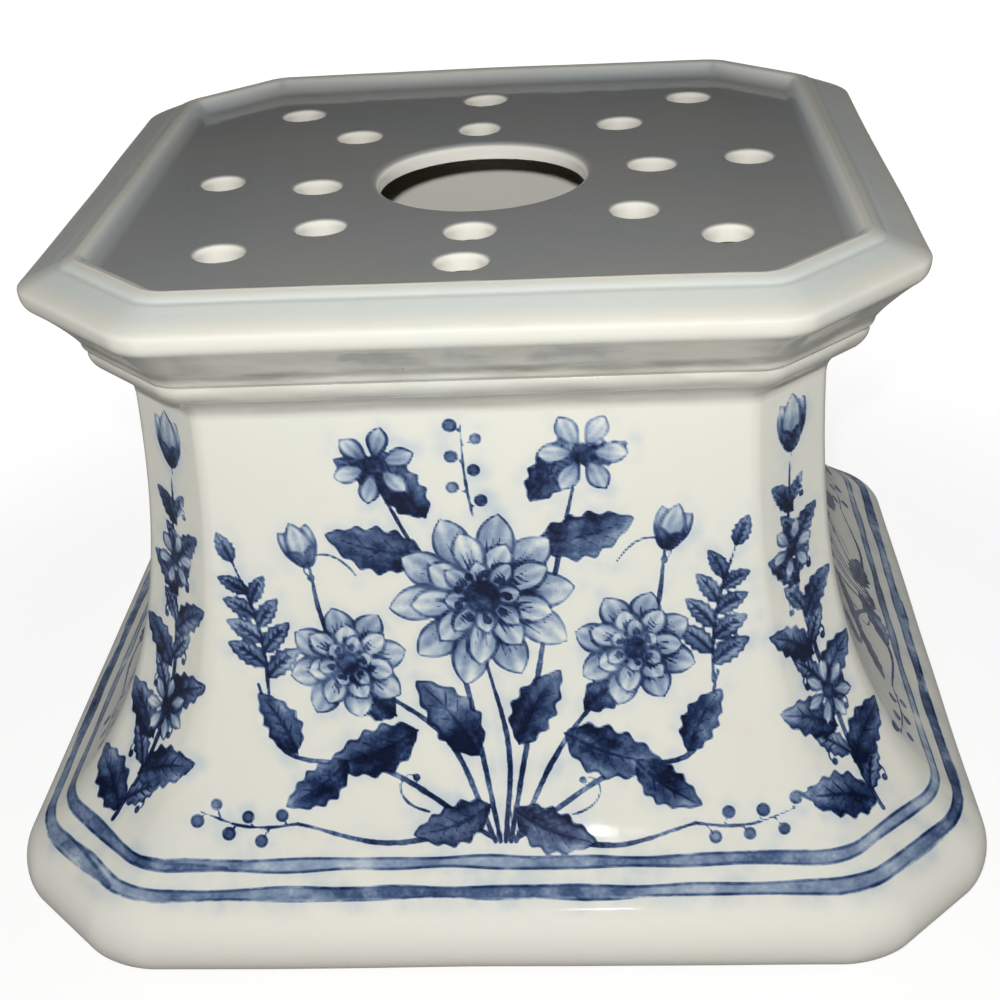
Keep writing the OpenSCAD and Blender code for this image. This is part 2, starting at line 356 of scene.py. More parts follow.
def moulded_ring(name, plan, outline, radii):
    """A closed ring of one outline round the cut-cornered plan, with its plan corners rounded."""
    throw, height = outline[0]
    ring = start_octagon(name, plan, throw, height)
    for next_throw, next_height in [*outline[1:], outline[0]]:
        extrude_up(next_height - height)
        grow_loop(ring, plan, throw, next_throw)
        throw, height = next_throw, next_height
    bpy.ops.mesh.select_all(action="SELECT")
    bpy.ops.mesh.remove_doubles(threshold=MERGE_GAP)
    bpy.ops.mesh.normals_make_consistent(inside=False)
    mesh = edit_mesh(ring)
    weight = mesh.edges.layers.float.new("bevel_weight_edge")
    for edge in mesh.edges:
        ends = [v.co for v in edge.verts]
        if corner_of(ends[0]) == corner_of(ends[1]):
            middle = (ends[0] + ends[1]) / 2
            reach = max(abs(middle.x), abs(middle.y)) - CREST_HALF
            edge[weight] = radius_at(reach, radii) / LARGEST_RADIUS
    bmesh.update_edit_mesh(ring.data)
    work_on(ring)
    apply_modifier(ring, "BEVEL", width=LARGEST_RADIUS * CORNER_TANGENT, segments=CORNER_SEGMENTS,
                   limit_method="WEIGHT", use_clamp_overlap=False)
    work_on(ring, "EDIT")
    cut_seams(ring, plan)
    cut_long_edges(ring)
    let_clay_drift(ring)
    return ring


def direction_of(plan, point):
    """Place in DIRECTIONS of the side or corner that a point of the plan lies on."""
    x, y = abs(point.x), abs(point.y)
    slope = 1 - plan[1]
    offset = side_half(plan, 0) - slope * CREST_HALF
    if y < slope * x + offset and x > y:
        return 0 if point.x > 0 else 4
    if x < slope * y + offset:
        return 2 if point.y > 0 else 6
    if point.y > 0:
        return 1 if point.x > 0 else 3
    return 7 if point.x > 0 else 5


def split_ring(ring, ending):
    """Parts a ring into its eight lengths at the middle of each rounded corner, and closes their ends."""
    lengths = {}
    for place, direction in enumerate(DIRECTIONS):
        work_on(ring, "EDIT")
        belongs = edit_mesh(ring).faces.layers.int["place"]
        pick(ring, "FACE", lambda face: face[belongs] == place)
        bpy.ops.mesh.separate(type="SELECTED")
        bpy.ops.object.mode_set(mode="OBJECT")
        length = next(o for o in bpy.context.selected_objects if o is not ring)
        length.name = "glazed_" + direction + ending
        lengths[direction] = length
        work_on(length, "EDIT")
        bpy.ops.mesh.select_all(action="SELECT")
        bpy.ops.mesh.fill_holes(sides=0)
        bpy.ops.mesh.normals_make_consistent(inside=False)
        work_on(length)
    bpy.data.objects.remove(ring)
    return lengths


# Which way a wall faces, and which of its points lie on its painted side
face_throws, face_heights = np.array(wall_face())[::-1].T
DIAGONAL_HALF = (2 * CREST_HALF - WALL_PLAN[0]) / math.sqrt(2)
DIAGONAL_GROWTH = (2 - WALL_PLAN[1]) / math.sqrt(2)


def place_axes(place):
    """Outward and rightward unit vectors of the wall at a place in DIRECTIONS."""
    angle = place * math.pi / 4
    c, s = math.cos(angle), math.sin(angle)
    return np.array((c, s, 0)), np.array((-s, c, 0))


def on_painted_side(points, place):
    reach = points @ place_axes(place)[0]
    throw = (reach - DIAGONAL_HALF) / DIAGONAL_GROWTH if place % 2 else reach - CREST_HALF
    return throw > np.interp(points[:, 2], face_heights, face_throws) - 0.5 * WALL_T


def mesh_points(piece):
    points = np.empty(3 * len(piece.data.vertices), np.float32)
    piece.data.vertices.foreach_get("co", points)
    return points.reshape(-1, 3).astype(float)


# Cuts for the brush work: the shortest row that is cut, and how often
SIDE_CUTS = ((2 * MM, 9), (0.75 * MM, 1))
CORNER_CUTS = ((0.75 * MM, 2),)


def cut_columns(wall, place):
    """Cuts the painted side of a wall into columns fine enough to carry brush work."""
    for shortest, cuts in CORNER_CUTS if place % 2 else SIDE_CUTS:
        painted = on_painted_side(mesh_points(wall), place)
        work_on(wall, "EDIT")

        def is_row(edge):
            start, end = edge.verts
            length = edge.calc_length()
            level = abs(start.co.z - end.co.z) < 0.2 * length
            return level and length > shortest and painted[start.index] and painted[end.index]

        pick(wall, "EDGE", is_row)
        bpy.ops.mesh.subdivide(number_cuts=cuts)
        work_on(wall)


def make_lengths(name, plan, outline, radii, ending):
    lengths = split_ring(moulded_ring(name, plan, outline, radii), ending)
    for place, direction in enumerate(DIRECTIONS):
        if ending == "_wall":
            cut_columns(lengths[direction], place)
        work_on(lengths[direction])
        bpy.ops.object.shade_smooth_by_angle(angle=SMOOTH_ANGLE)
    return lengths


def hole_place(place, row):
    """Middle of a stem hole, in the inner or outer row, with its drift."""
    if place % 2:
        outer, share = (DECK_HALF - CORNER_EDGE) * math.sqrt(2), CORNER_SHARE
    else:
        outer, share = DECK_HALF - SIDE_EDGE, SIDE_SHARE
    inner = ROWS_START + share * (outer - ROWS_START)
    drift = HOLE_DRIFT[place][row]
    away = place_axes(place)[0] * (outer if row else inner)
    return away[0] + drift[0] * MM, away[1] + drift[1] * MM


def add_hole(middle, radius, lip, sides, squash, turn):
    """In edit mode, a punched hole's wall and soft lip, from its lower edge up to the deck's top."""
    bpy.ops.mesh.primitive_circle_add(vertices=sides, radius=radius, location=(*middle, DECK_UNDER))
    centre = (*middle, 0)
    bpy.ops.transform.resize(value=(1, squash, 1), center_override=centre)
    bpy.ops.transform.rotate(value=turn, orient_axis="Z", center_override=centre)
    width, depth = lip
    bends = np.linspace(0, math.pi / 2, LIP_BENDS)
    rings = [(radius + width * (1 - math.cos(b)), DECK_Z - depth * (1 - math.sin(b))) for b in bends]
    rings.append((radius + LIP_SKIRT * width, DECK_Z))
    size, height = radius, DECK_UNDER
    for next_size, next_height in rings:
        extrude_up(next_height - height)
        grow = next_size / size
        bpy.ops.transform.resize(value=(grow, grow, 1), center_override=centre)
        size, height = next_size, next_height


def start_slab(name, plan, throw, height, radii):
    """The selected outline of a slab, in edit mode, with its corners rounded as the rings' are."""
    slab = start_octagon(name, plan, throw, height)
    offset = radius_at(throw, radii) * CORNER_TANGENT
    bpy.ops.mesh.bevel(affect="VERTICES", offset=offset, segments=CORNER_SEGMENTS)
    cut_long_edges(slab)
    bpy.ops.mesh.select_all(action="SELECT")
    return slab


def finish_slab(slab):
    bpy.ops.mesh.select_all(action="SELECT")
    bpy.ops.mesh.normals_make_consistent(inside=False)
    let_clay_drift(slab)
    bpy.ops.object.shade_smooth_by_angle(angle=SMOOTH_ANGLE)
    return slab


def make_deck():
    deck = start_slab("glazed_deck", CORNICE_PLAN, -RIM_SLOPE, DECK_UNDER, CORNICE_RADII)
    extrude_up(DECK_Z - DECK_UNDER)
    add_hole(CENTRE_PLACE, CENTRE_R, CENTRE_LIP, CENTRE_SIDES, CENTRE_STRETCH, 0)
    for place in range(8):
        for row in (0, 1):
            wear = 2.4 * place + 1.1 * row
            squash = 0.95 + 0.04 * math.sin(wear)
            add_hole(hole_place(place, row), STEM_R, STEM_LIP, STEM_SIDES, squash, wear)
    for level in (DECK_Z, DECK_UNDER):
        pick(deck, "EDGE", lambda e: e.is_boundary and abs(e.verts[0].co.z - level) < BASE_SLICE)
        bpy.ops.mesh.fill(use_beauty=True)
    return finish_slab(deck)


def make_floor():
    slab = start_slab("floor_plate", WALL_PLAN, FLOOR_THROW, 0, WALL_RADII)
    bpy.ops.mesh.edge_face_add()
    extrude_up(FLOOR_T)
    pick(slab, "EDGE", lambda e: e.verts[0].co.z + e.verts[1].co.z < BASE_SLICE)
    bpy.ops.mesh.bevel(offset=SLAB_EDGE, segments=3)
    return finish_slab(slab)


# Brush work, in millimetres across (u) and up (v) a wall
FAR = 9.0


class Brush:
    """Lays cobalt on the points of a wall. For each point it keeps the signed distance to the washes
    (cover), the distance to the nearest edge of the wash on top (edge), the signed distance to the drawn
    lines (line) and the strength of the wash (tone)."""

    def __init__(self, u, v):
        self.v = v
        self.move(u)
        self.cover = np.full(u.shape, FAR)
        self.edge = np.full(u.shape, FAR)
        self.line = np.full(u.shape, FAR)
        self.tone = np.zeros(u.shape)

    def move(self, u):
        """Takes the same points at other places across, for the next design."""
        self.u = u
        self.limits = u.min(), u.max(), self.v.min(), self.v.max()

    def patch(self, low, high, margin=6):
        """Places of the points in a box, or None."""
        left, right, bottom, top = self.limits
        if high[0] + margin < left or low[0] - margin > right:
            return None
        if high[1] + margin < bottom or low[1] - margin > top:
            return None
        across = (self.u > low[0] - margin) & (self.u < high[0] + margin)
        here = np.flatnonzero(across & (self.v > low[1] - margin) & (self.v < high[1] + margin))
        return here if here.size else None

    def wash(self, here, away, tone):
        """Lays a wash over what was painted before; away is the signed distance to its edge."""
        inside = away < 0
        self.edge[here] = np.where(inside, -away, np.minimum(self.edge[here], away))
        self.line[here] = np.where(inside, np.maximum(self.line[here], -away - 0.4), self.line[here])
        self.tone[here] = np.where(inside, tone, self.tone[here])
        self.cover[here] = np.minimum(self.cover[here], away)

    def blade(self, base, angle, length, width, tones, bend=0.0, blunt=0.5, ragged=0.0):
        """A petal or leaf from its base; tones are those at the base, at the tip and along one half."""
        c, s = math.cos(angle), math.sin(angle)
        tip = base[0] + length * c, base[1] + length * s
        here = self.patch(np.minimum(base, tip) - width, np.maximum(base, tip) + width)
        if here is None:
            return
        du, dv = self.u[here] - base[0], self.v[here] - base[1]
        along = (du * c + dv * s) / length
        across = dv * c - du * s - bend * length * (along - along**2)
        t = np.clip(along, 0.0, 1.0)
        half = width * np.sin(math.pi * t ** (0.5 + blunt)) ** 0.75
        half *= 1 + ragged * np.sin(10 * math.pi * t + 2 * np.sign(across))
        past = np.maximum(np.maximum(-along, along - 1), 0) * length
        gap = np.abs(across) - half
        away = np.hypot(np.maximum(gap, 0), past) + 0.8 * np.minimum(gap, 0)
        tone = tones[0] + (tones[1] - tones[0]) * t + tones[2] * np.clip(across / width, -1, 1)
        tone += 0.07 * np.sin(8 * across / width + 4 * t + base[0])
        self.wash(here, away, tone)

    def disc(self, middle, radius, tone):
        here = self.patch(np.subtract(middle, radius), np.add(middle, radius))
        if here is not None:
            self.wash(here, np.hypot(self.u[here] - middle[0], self.v[here] - middle[1]) - radius, tone)

    def stroke(self, points, thick, thin):
        """A drawn line on a smooth course through the points, from one thickness to the other."""
        course = smooth_course(np.array(points, float))
        here = self.patch(course.min(0), course.max(0))
        if here is None:
            return
        u, v = self.u[here], self.v[here]
        best = self.line[here]
        last = len(course) - 1
        for i, (start, step) in enumerate(zip(course, np.diff(course, axis=0))):
            t = ((u - start[0]) * step[0] + (v - start[1]) * step[1]) / max(step @ step, 1e-9)
            t = np.clip(t, 0, 1)
            share = (i + t) / last
            width = (thick + (thin - thick) * share) * (0.72 + 0.28 * np.sin(math.pi * share))
            away = np.hypot(u - start[0] - t * step[0], v - start[1] - t * step[1])
            best = np.minimum(best, away - width / 2)
        self.line[here] = best

    def dot(self, middle, radius):
        here = self.patch(np.subtract(middle, radius), np.add(middle, radius))
        if here is not None:
            away = np.hypot(self.u[here] - middle[0], self.v[here] - middle[1]) - radius
            self.line[here] = np.minimum(self.line[here], away)


def smooth_course(points, steps=7):
    """A smooth course through given points."""
    if len(points) == 2:
        return points
    ends = np.vstack([2 * points[0] - points[1], points, 2 * points[-1] - points[-2]])
    t = np.linspace(0, 1, steps, endpoint=False)[:, None]
    course = []
    for p, a, b, n in zip(ends, ends[1:], ends[2:], ends[3:]):
        bow, twist = 2 * p - 5 * a + 4 * b - n, 3 * a - p - 3 * b + n
        course.append(0.5 * (2 * a + (b - p) * t + bow * t**2 + twist * t**3))
    return np.vstack([*course, points[-1:]])


# Tones of the washes: at the base, at the tip and along one half
LEAF = (0.95, 0.45, 0.2)
PALE_LEAF = (0.62, 0.25, 0.14)
PETAL = (0.68, 0.08, 0.0)
PALE_PETAL = (0.44, 0.04, 0.0)


def around(middle, angle, reach):
    return middle[0] + reach * math.cos(angle), middle[1] + reach * math.sin(angle)


def bent(base, angle, length, bend):
    """A bowed course from a base: gives the point at a share of its length, or one aside from it."""
    c, s = math.cos(angle), math.sin(angle)

    def point(t, aside=0.0):
        across = bend * (t - t * t) + aside
        return base[0] + length * (t * c - across * s), base[1] + length * (t * s + across * c)

    return point


def blossom(brush, middle, radius, petals, turn):
    """A full flower of three rows of veined petals round a dark eye."""
    for tier in range(3):
        size = radius * (1 - 0.27 * tier)
        count = petals - tier
        for i in range(count):
            angle = turn + 2 * math.pi * (i + 0.5 * tier) / count
            reach = size * (0.94 + 0.09 * math.sin(3.1 * i + tier))
            width = 0.61 * math.pi * size / count
            brush.blade(middle, angle, reach, width, PALE_PETAL if tier == 1 else PETAL,
                        bend=0.12 * math.sin(2.3 * i), blunt=1.3)
            for spread in (-0.22, 0.0, 0.22):
                vein = [around(middle, angle + 0.4 * spread, 0.45 * reach),
                        around(middle, angle + 4.4 * spread / count, 0.74 * reach)]
                brush.stroke(vein, 0.55, 0.2)
    brush.disc(middle, 0.17 * radius, 0.85)
    for i in range(9):
        brush.dot(around(middle, 2 * math.pi * i / 9, 0.26 * radius), 0.045 * radius)


def daisy(brush, middle, radius, petals, turn):
    for i in range(petals):
        angle = turn + 2 * math.pi * i / petals
        brush.blade(around(middle, angle, 0.15 * radius), angle, 0.85 * radius, 1.5 * radius / petals,
                    PALE_PETAL, blunt=0.9)
    brush.disc(middle, 0.24 * radius, 0.8)


def leaf(brush, base, angle, length, bend=0.0, tones=LEAF):
    """A leaf with a notched edge, a midrib and side veins."""
    fat = 0.24
    brush.blade(base, angle, length, fat * length, tones, bend=bend, blunt=0.32, ragged=0.12)
    inside = bent(base, angle, length, bend)
    brush.stroke([inside(t) for t in (0.0, 0.3, 0.6, 0.92)], 0.9, 0.35)
    for t in (0.25, 0.42, 0.58):
        for side in (-1, 1):
            vein = inside(t), inside(t + 0.16, side * 0.62 * fat * math.sin(math.pi * (t + 0.1)))
            brush.stroke(vein, 0.45, 0.25)


def bud(brush, base, angle, length):
    for k in (-1, 1, 0):
        brush.blade(base, angle + 0.32 * k, length * (1 - 0.08 * abs(k)), 0.24 * length,
                    PETAL if k else PALE_PETAL, bend=-0.25 * k)
    for k in (-1, 1):
        brush.blade(base, angle + 0.55 * k, 0.5 * length, 0.12 * length, LEAF, bend=-0.2 * k, blunt=0.4)


def sprig(brush, base, angle, length, pairs, bend=0.0):
    """A side shoot with pairs of pale leaves and one at its tip."""
    along = bent(base, angle, length, bend)
    brush.stroke([along(t) for t in (0, 0.3, 0.6, 1)], 0.9, 0.5)
    for i in range(pairs):
        t = 0.16 + 0.74 * i / pairs
        heading = angle + bend * (1 - 2 * t)
        size = 0.34 * length * (1 - 0.45 * t)
        for side in (-1, 1):
            leaf(brush, along(t + 0.04 * side), heading + side * (0.95 - 0.3 * t), size,
                 -0.18 * side, PALE_LEAF)
    leaf(brush, along(1), angle - bend, 0.24 * length, tones=PALE_LEAF)


def tendril(brush, base, angle, length, curl):
    points = [base]
    for i in range(7):
        angle += curl * (0.12 + 0.12 * i)
        points.append(around(points[-1], angle, length / 7 * (1 - 0.07 * i)))
    brush.stroke(points, 0.6, 0.35)
    brush.dot(points[-1], 0.75)


def berries(brush, base, angle, length, count, bend):
    along = bent(base, angle, length, bend)
    brush.stroke([along(t) for t in (0, 0.3, 0.6, 1)], 0.7, 0.4)
    for i in range(count):
        side = 1 if i % 2 else -1
        berry = along((i + 1) / count, side * (2.2 + 0.5 * math.sin(2 * i)) / length)
        brush.stroke([along((i + 0.6) / count), berry], 0.4, 0.35)
        brush.disc(berry, 1.15 + 0.15 * math.sin(3 * i), 0.5)


# The spray on a side: stems as points, leaves as base, angle in degrees, length and bend
STEMS = (
    ((3, 4), (4, 22), (0, 40)), ((1, 4), (-8, 24), (-24, 36)), ((5, 4), (14, 22), (26, 37)),
    ((2, 4), (-7, 48), (-19, 78)), ((4, 4), (13, 52), (19, 80)),
    ((0, 5), (-20, 18), (-40, 22), (-45, 36)), ((6, 5), (24, 17), (40, 21), (45, 37)),
    ((-24, 36), (-31, 48), (-33, 60)), ((26, 37), (33, 49), (35, 62)),
    ((-2, 7), (-20, 4), (-38, 8)), ((8, 6), (24, 3), (40, 7)))
LEAVES = (
    ((-14, 26), 200, 19, 0.25), ((-18, 29), 150, 16, -0.2), ((15, 25), -18, 20, -0.25),
    ((19, 30), 32, 15, 0.2), ((-2, 21), 128, 19, -0.2), ((6, 23), 60, 17, 0.2),
    ((-11, 62), 165, 19, 0.2), ((11, 64), 15, 19, -0.2), ((-10, 70), 118, 16, 0.2),
    ((10, 73), 62, 15, -0.2), ((-28, 20), 215, 15, 0.2), ((29, 19), -35, 15, -0.2),
    ((-38, 22), 120, 14, -0.2), ((39, 21), 62, 14, 0.2), ((0, 11), 200, 16, 0.3),
    ((5, 10), -22, 17, -0.3), ((-17, 79), 160, 10, 0.2), ((19, 81), 20, 10, -0.2))


def paint_spray(brush):
    """A bouquet whose stems gather low in the middle of a side."""
    for stem in STEMS:
        brush.stroke(stem, 1.3, 0.8)
    for base, angle, length, bend in LEAVES:
        leaf(brush, base, math.radians(angle), length, bend)
    sprig(brush, (-43, 34), math.radians(100), 28, 4, -0.2)
    sprig(brush, (44, 35), math.radians(81), 28, 4, 0.2)
    tendril(brush, (-24, 58), math.radians(120), 20, 1)
    tendril(brush, (26, 60), math.radians(60), 20, -1)
    tendril(brush, (-12, 10), math.radians(170), 16, -1)
    tendril(brush, (16, 9), math.radians(10), 16, 1)
    berries(brush, (-1, 70), math.radians(94), 19, 6, 0.1)
    berries(brush, (-38, 8), math.radians(172), 20, 6, 0.35)
    berries(brush, (40, 7), math.radians(8), 20, 6, -0.35)
    blossom(brush, (-27, 40), 12.5, 8, 0.2)
    blossom(brush, (29, 42), 12.5, 8, 0.5)
    blossom(brush, (0, 53), 19, 10, 0.1)
    daisy(brush, (-19, 81), 8, 6, 0.3)
    daisy(brush, (20, 82.5), 8.5, 6, 0.0)
    bud(brush, (-33, 60), math.radians(108), 10)
    bud(brush, (35, 62), math.radians(74), 10)


def paint_sprig(brush):
    """A leafy stem that climbs a corner to a bud."""
    brush.stroke([(0, 3), (1.5, 30), (-1.5, 58), (0, 80)], 1.5, 0.8)
    for i in range(9):
        height = 5 + 7.6 * i
        side = 1 if i % 2 else -1
        tendril(brush, (0, height + 3), math.radians(90 + side * 40), 11 - 0.6 * i, side)
        leaf(brush, (0, height), math.radians(90 - side * (66 - 3 * i)), 17 - 1.0 * i, 0.22 * side)
        leaf(brush, (0, height + 2), math.radians(90 + side * (48 - 2 * i)), 10 - 0.5 * i,
             -0.2 * side, PALE_LEAF)
    daisy(brush, (1, 27), 6.5, 7, 0.6)
    daisy(brush, (-1, 58), 6, 6, 0.2)
    bud(brush, (0, 78), math.radians(90), 12)


# Two bands round the foot: height, half width, tone, and the angle round the piece
# where the stroke starts
BANDS = ((19.9 * MM, 1.15, 0.34, -2.25), (16.3 * MM, 1.3, 0.42, -2.42))
STROKE_OVERLAP = 0.16
STROKE_ENTRY = 0.08


def paint_bands(brush, turn):
    """Bands that waver with the hand and lap over where they close; turn is the angle round the piece."""
    for height, half, tone, start in BANDS:
        middle = height_up(height)
        near = np.flatnonzero(np.abs(brush.v - middle) < 8)
        t = turn[near]
        gone = (t - start) % (2 * math.pi)
        waver = 0.16 * np.sin(9 * t + 40 * height / MM) + 0.12 * np.sin(23 * t + height / MM)
        swell = half * (1 + 0.14 * np.sin(13 * t + 2 * height / MM) + 0.1 * np.sin(31 * t))
        load = tone * (1 + 0.35 * np.sin(5 * t + height / MM) + 0.2 * np.sin(17 * t))
        rise = brush.v[near] - middle - waver
        entry = np.sqrt(np.clip(gone / STROKE_ENTRY, 0, 1))
        brush.wash(near, np.abs(rise - 0.7 * np.exp(-gone / 0.12)) - swell * entry, load)
        left = 1 - gone / STROKE_OVERLAP
        tail = np.abs(rise + 0.6 * (1 - left)) - swell * np.sqrt(np.clip(left, 0, 1))
        brush.wash(near, np.where(left > 0, tail, FAR), load + 0.12)


face_steps = np.hypot(np.diff(face_throws), np.diff(face_heights))
face_lengths = np.concatenate(([0], np.cumsum(face_steps))) / MM


def height_up(z):
    """Millimetres up the painted side from the inner band to a height."""
    return np.interp(z, face_heights, face_lengths) - np.interp(BANDS[0][0], face_heights, face_lengths)


def paint_wall(wall, place):
    """Lays the bands, the wall's own design and what its neighbours' designs carry round the corners."""
    points = mesh_points(wall)
    painted = on_painted_side(points, place)
    points = points[painted]
    throw = np.interp(points[:, 2], face_heights, face_throws)
    corner, side = corner_half(WALL_PLAN, throw) / MM, side_half(WALL_PLAN, throw) / MM
    across = points @ place_axes(place)[1] / MM
    brush = Brush(across, height_up(points[:, 2]))
    paint_bands(brush, np.arctan2(points[:, 1], points[:, 0]))
    steps = (-1, 1, 0) if place % 2 else (0, -1, 1)
    for step in steps:
        aside = across - step * (corner + side)
        neighbour = (place + step) % 8
        if neighbour % 2:
            brush.move(aside)
            paint_sprig(brush)
        else:
            brush.move(aside if neighbour in (2, 6) else -aside)
            paint_spray(brush)
    for name, values in (("ink_cover", brush.cover), ("ink_edge", brush.edge), ("ink_line", brush.line),
                         ("ink_tone", brush.tone)):
        spread = np.full(len(painted), FAR, np.float32)
        spread[painted] = values
        wall.data.attributes.new(name, "FLOAT", "POINT").data.foreach_set("value", spread)
    outside = wall.data.attributes.new("outside", "FLOAT", "POINT")
    outside.data.foreach_set("value", painted.astype(np.float32))


# Shaders
class Wire:
    """An output of a shader node; arithmetic on wires and numbers adds Math nodes."""

    def __init__(self, tree, socket=None):
        self.tree = tree
        self.socket = socket

    def node(self, kind, settings=(), sockets=(), output=0):
        """Adds a node: its settings first, then values or links for its sockets."""
        node = self.tree.nodes.new("ShaderNode" + kind)
        for name, value in dict(settings).items():
            if name == "stops":
                ramp = node.color_ramp.elements
                while len(ramp) < len(value):
                    ramp.new(1)
                for stop, (position, colour) in zip(ramp, value):
                    stop.position, stop.color = position, colour
            else:
                setattr(node, name, value)
        for name, value in dict(sockets).items():
            if isinstance(value, Wire):
                self.tree.links.new(value.socket, node.inputs[name])
            else:
                node.inputs[name].default_value = value
        return None if output is None else Wire(self.tree, node.outputs[output])

    def math(self, operation, first, second=0.0):
        return self.node("Math", {"operation": operation}, {0: first, 1: second})

    def __add__(self, other):
        return self.math("ADD", self, other)

    __radd__ = __add__

    def __sub__(self, other):
        return self.math("SUBTRACT", self, other)

    def __rsub__(self, other):
        return self.math("SUBTRACT", other, self)

    def __mul__(self, other):
        return self.math("MULTIPLY", self, other)

    __rmul__ = __mul__

    def __truediv__(self, other):
        return self.math("DIVIDE", self, other)

    def __neg__(self):
        return self * -1

    def ramp(self, low, high):
        """0 below low to 1 above high, smoothly."""
        return self.node("MapRange", {"interpolation_type": "SMOOTHSTEP"},
                         {"Value": self, "From Min": low, "From Max": high})

    def held(self, most):
        """No less than 0 and no more than most."""
        return self.node("Clamp", {}, {"Value": self, "Min": 0.0, "Max": most})

    def mix(self, other, share):
        """This colour with a share of another."""
        return blend(self, self, other, share)


def tint(red, green, blue):
    """A screen colour as light."""
    lit = [((c / 255 + 0.055) / 1.055) ** 2.4 if c > 10 else c / 3294.6 for c in (red, green, blue)]
    return (*lit, 1)


CREAM = tint(234, 232, 220)
THICK_GLAZE = tint(219, 227, 223)
THIN_GLAZE = tint(228, 218, 199)
SMUDGE_AND_SHADE = tint(196, 194, 184)
GRIME_AND_SHADE = tint(128, 124, 112)
SPECK = tint(70, 62, 52)
PIT = tint(24, 22, 24)
# Paler glaze: pooled thick, and partly painted light, on the foot and where the deck turns from its flat
# top
POOLED_AND_LIT_GLAZE = tint(249, 246, 235)
# Grey painted on the deck's flat top: mostly shade, as the top gets little light, partly a greyer glaze
SHADED_DECK_GREY = tint(168, 167, 162)
SHADED_DECK_BLUE = tint(161, 166, 169)
# Dark clay colour painted inside the brick as shade
SHADED_INSIDE = tint(140, 116, 90)
BISCUIT = tint(214, 190, 154)
BISCUIT_DARK = tint(183, 152, 114)
INK_STOPS = (
    (0.0, CREAM), (0.12, tint(204, 213, 216)), (0.3, tint(148, 165, 188)),
    (0.55, tint(80, 100, 136)), (0.8, tint(34, 51, 88)), (1.0, tint(10, 19, 44)))

# Height below which the inside is painted dark as shade and made matt, how matt the surfaces are,
# and what brings noise to about unit spread
INSIDE_SHADE_Z = 94 * MM
GLAZE_ROUGHNESS = 0.08
CLAY_ROUGHNESS = 0.85
NOISE_SPREAD = 7


def new_material(name):
    material = bpy.data.materials.new(name)
    material.use_nodes = True
    material.node_tree.nodes.clear()
    return material, Wire(material.node_tree)


def blend(wire, first, second, share):
    """One colour with a share of another."""
    return wire.node("Mix", {"data_type": "RGBA"}, {"Factor": share, "A": first, "B": second}, "Result")


def object_place(wire):
    return wire.node("TexCoord", output="Object")


def noise(wire, size, detail=2.0, stretch=None):
    """Noise about zero, with about unit spread, of features of a given size."""
    place = object_place(wire)
    if stretch:
        place = wire.node("Mapping", {}, {"Vector": place, "Scale": stretch})
    grain = wire.node("TexNoise", {}, {"Vector": place, "Scale": 1 / size, "Detail": detail}, "Fac")
    return (grain - 0.5) * NOISE_SPREAD


def pinholes(wire, spacing, radius, share):
    """Small dark pits in a share of the cells of a scatter."""
    sockets = {"Vector": object_place(wire), "Scale": 1 / spacing}
    away = wire.node("TexVoronoi", {}, sockets, "Distance")
    chance = wire.node("TexVoronoi", {}, sockets, "Color")
    red = wire.node("SeparateColor", {}, {"Color": chance}, "Red")
    return (1 - away.ramp(0.5 * radius / spacing, radius / spacing)) * (1 - red.ramp(share, share + 0.01))


def object_height(wire):
    return wire.node("SeparateXYZ", {}, {"Vector": object_place(wire)}, "Z")


def glaze_ground(wire):
    """Warm white tin glaze, bluish where it is thick, with faint smudges and pits."""
    drift = noise(wire, 28 * MM, detail=3.0)
    ground = blend(wire, CREAM, THICK_GLAZE, (0.16 + 0.14 * drift).ramp(0.0, 1.0))
    ground = ground.mix(THIN_GLAZE, (noise(wire, 17 * MM, detail=4.0) - 0.5).ramp(0.0, 2.6) * 0.5)
    ground = ground.mix(SPECK, pinholes(wire, 11 * MM, radius=0.3 * MM, share=0.25) * 0.85)
    return ground.mix(PIT, pinholes(wire, 31 * MM, radius=0.45 * MM, share=0.35))


def add_surface(wire, base, roughness, bump):
    """Ends a material with one surface."""
    sockets = {"Base Color": base, "Roughness": roughness, "Normal": bump}
    surface = wire.node("BsdfPrincipled", {}, sockets, "BSDF")
    wire.node("OutputMaterial", {}, {"Surface": surface}, None)


def glossy_finish(wire, base, ink=0.0, bare=0.0):
    """Gloss and faint ripple of a glaze put on by dipping: grainy with cobalt in it, matt where the clay
    is bare and where the inside is painted dark as shade.
    """
    ripple = noise(wire, 5 * MM) * 0.6 + noise(wire, 1.3 * MM, detail=1.0) * 0.15
    ripple = ripple + noise(wire, 0.5 * MM, detail=1.0) * ink
    bump = wire.node("Bump", {}, {"Strength": 0.35, "Distance": 0.05 * MM, "Height": ripple}, "Normal")
    gloss = GLAZE_ROUGHNESS + 0.015 * noise(wire, 9 * MM) + 0.1 * ink
    add_surface(wire, base, gloss + (CLAY_ROUGHNESS - GLAZE_ROUGHNESS) * bare, bump)


